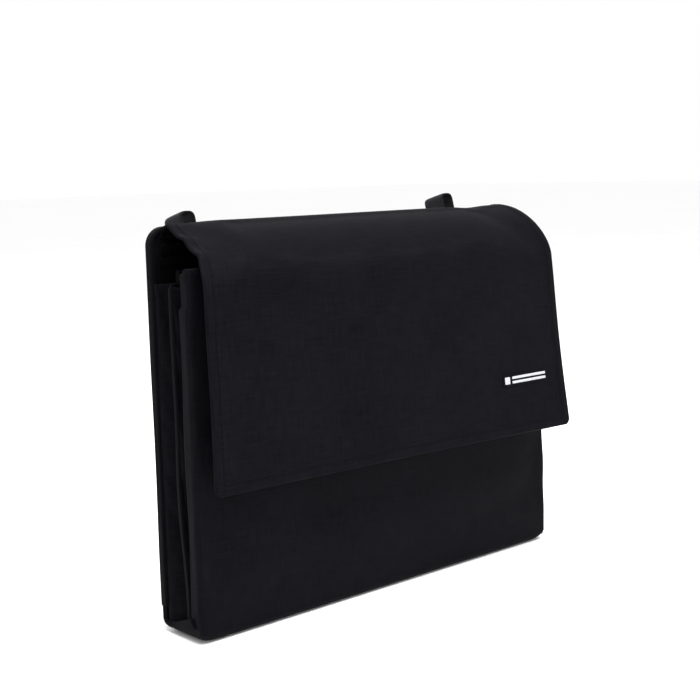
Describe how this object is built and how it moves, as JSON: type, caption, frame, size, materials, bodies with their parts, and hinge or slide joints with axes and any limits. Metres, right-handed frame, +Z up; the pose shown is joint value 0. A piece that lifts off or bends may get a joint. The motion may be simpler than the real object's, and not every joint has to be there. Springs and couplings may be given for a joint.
{
  "type": "film changing bag",
  "caption": "Slim flap-over pouch of black woven cloth with two gusseted compartments, a back slip pocket, a folding flap and webbing loops for a strap.",
  "frame": {"origin": "middle of the base, at the height of the surface the bag stands on", "axes": "+X across the bag to its right, +Y towards its back, +Z up"},
  "size_m": [0.3, 0.096, 0.2469],
  "materials": {
    "cloth": "black plain-weave nylon cloth, soft sheen",
    "lining": "black close-woven lining",
    "tape": "black grosgrain binding tape",
    "webbing": "black ribbed webbing",
    "foam": "dark grey foam sheet",
    "board": "black stiffening board",
    "closure": "black hook and loop tape",
    "label": "light grey woven label, plain bars and no lettering"
  },
  "bodies": {
    "shell": {"back_panel": "cloth", "back_board": "board", "back_lining": "lining", "mouth_facing": "lining", "back_edge_binding_left": "tape", "back_edge_binding_right": "tape", "bottom_panel": "cloth", "bottom_board": "board", "back_pocket_panel": "cloth", "back_pocket_binding": "tape", "flap_root": "cloth", "gusset_rear_left": "cloth", "gusset_rear_right": "cloth", "gusset_front_left": "cloth", "gusset_front_right": "cloth", "strap_loop_tab_left": "webbing", "strap_loop_tab_right": "webbing"},
    "divider": {"divider_panel": "lining", "divider_top_binding": "tape", "divider_edge_binding_left": "tape", "divider_edge_binding_right": "tape"},
    "front": {"front_panel": "cloth", "front_foam": "foam", "front_lining": "lining", "front_top_binding": "tape", "front_side_band_left": "cloth", "front_side_band_right": "cloth", "closure_loop_strip": "closure"},
    "flap_top": {"flap_top_shell": "cloth", "flap_top_lining": "lining"},
    "flap_front": {"flap_front_shell": "cloth", "flap_board": "board", "flap_front_lining": "lining", "closure_hook_strip": "closure", "woven_label": "label"},
    "loop_left": {"strap_loop_left": "webbing"},
    "loop_right": {"strap_loop_right": "webbing"}
  },
  "joints": [
    {"name": "flap_lift", "type": "hinge", "parent": "shell", "child": "flap_top", "pos_m": [0, 0.01, 0.2412], "axis": [-1, 0, 0], "range_deg": [0, 140]},
    {"name": "flap_fold", "type": "hinge", "parent": "flap_top", "child": "flap_front", "pos_m": [0, -0.02724, 0.2225], "axis": [-1, 0, 0], "range_deg": [-4, 100]},
    {"name": "front_lean", "type": "hinge", "parent": "shell", "child": "front", "pos_m": [0, -0.01, 0.01], "axis": [1, 0, 0], "range_deg": [0, 8.12], "deforming": ["gusset_rear_left", "gusset_rear_right", "gusset_front_left", "gusset_front_right"]},
    {"name": "divider_lean", "type": "hinge", "parent": "shell", "child": "divider", "pos_m": [0, 0.0006, 0.008], "axis": [1, 0, 0], "range_deg": [0, 3.78], "deforming": ["gusset_rear_left", "gusset_rear_right", "gusset_front_left", "gusset_front_right"]},
    {"name": "loop_left_swing", "type": "hinge", "parent": "shell", "child": "loop_left", "pos_m": [-0.108, 0.0234, 0.225], "axis": [-1, 0, 0], "range_deg": [-10, 50]},
    {"name": "loop_right_swing", "type": "hinge", "parent": "shell", "child": "loop_right", "pos_m": [0.108, 0.0234, 0.225], "axis": [-1, 0, 0], "range_deg": [-10, 50]}
  ],
  "couplings": [
    {"joint": "front_lean", "follows": "flap_lift", "ratio": 0.058},
    {"joint": "divider_lean", "follows": "flap_lift", "ratio": 0.027}
  ]
}
